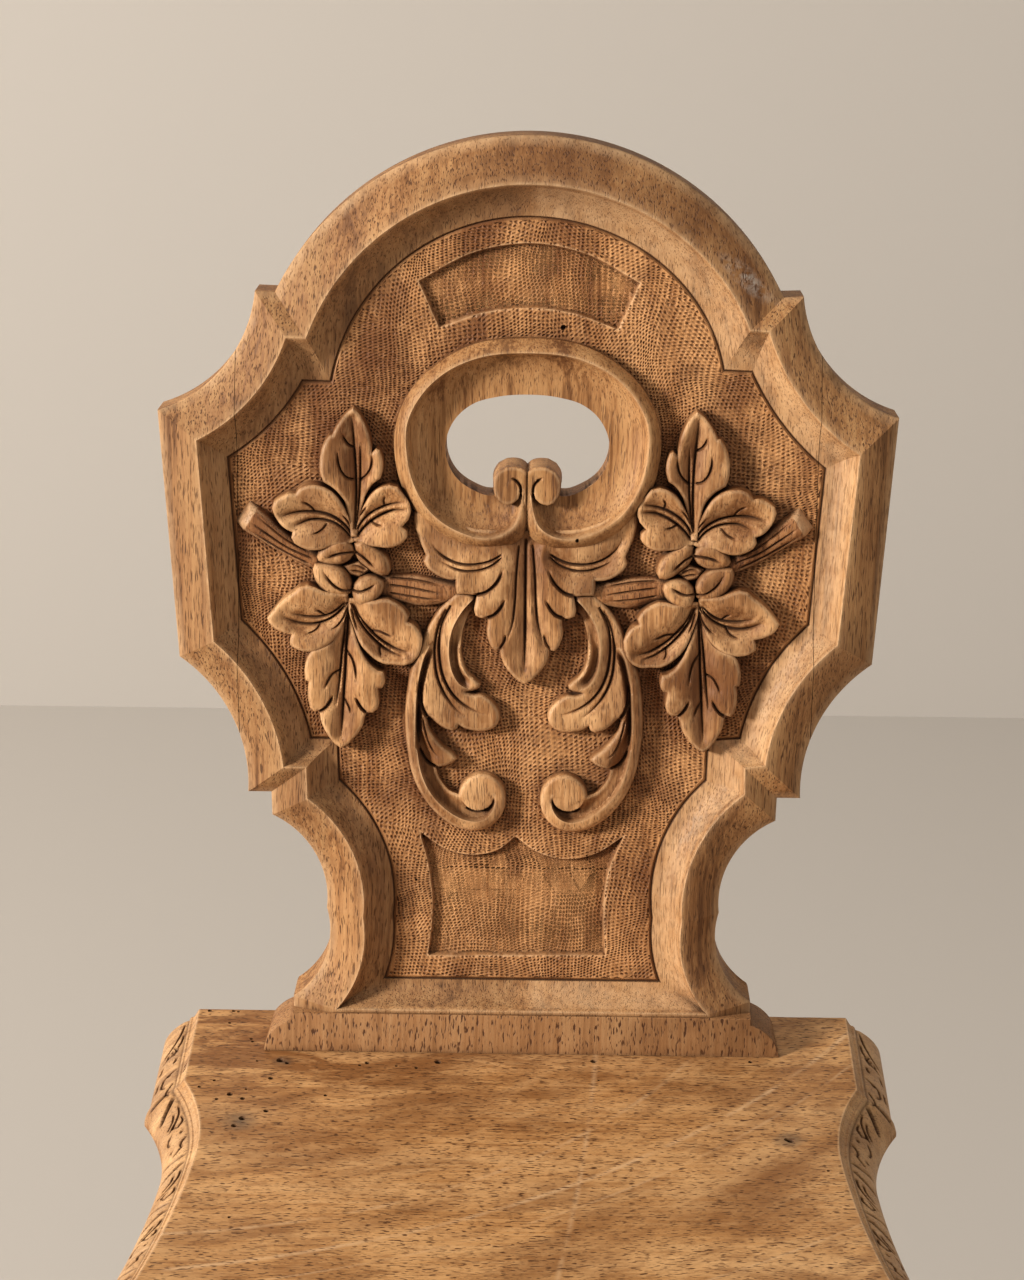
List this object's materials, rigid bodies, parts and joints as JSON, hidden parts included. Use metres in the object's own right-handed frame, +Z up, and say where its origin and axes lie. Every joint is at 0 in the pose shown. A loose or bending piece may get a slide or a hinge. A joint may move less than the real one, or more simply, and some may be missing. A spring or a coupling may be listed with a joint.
{
  "type": "carved board chair",
  "caption": "Wooden hall chair: shaped plank seat on splayed octagonal legs, with a moulded cartouche back carved with leaves and scrolls around a hand hole.",
  "frame": {"origin": "on the floor under the middle of the chair's bounding box", "axes": "+Z up, -Y the way the sitter faces, +X to the left hand of the sitter and to the right of someone who looks at the front"},
  "size_m": [0.428, 0.4632, 0.9132],
  "materials": {
    "back_wood": "stripped and lightly waxed walnut, grain upright, punched ground between the carving",
    "seat_wood": "stripped and lightly waxed walnut, worn smooth, grain across the seat",
    "underframe_wood": "planed walnut, unpolished",
    "leg_wood": "lightly waxed walnut, grain along the leg",
    "wedge_wood": "plain beech"
  },
  "bodies": {
    "root": {"back_board": "back_wood", "back_ear_left": "back_wood", "back_ear_right": "back_wood", "seat_board": "seat_wood", "batten_left": "underframe_wood", "batten_right": "underframe_wood", "key_left": "wedge_wood", "key_right": "wedge_wood", "leg_front_left": "leg_wood", "leg_front_right": "leg_wood", "leg_rear_left": "leg_wood", "leg_rear_right": "leg_wood", "leg_wedge_front_left": "wedge_wood", "leg_wedge_front_right": "wedge_wood", "leg_wedge_rear_left": "wedge_wood", "leg_wedge_rear_right": "wedge_wood"}
  },
  "joints": []
}
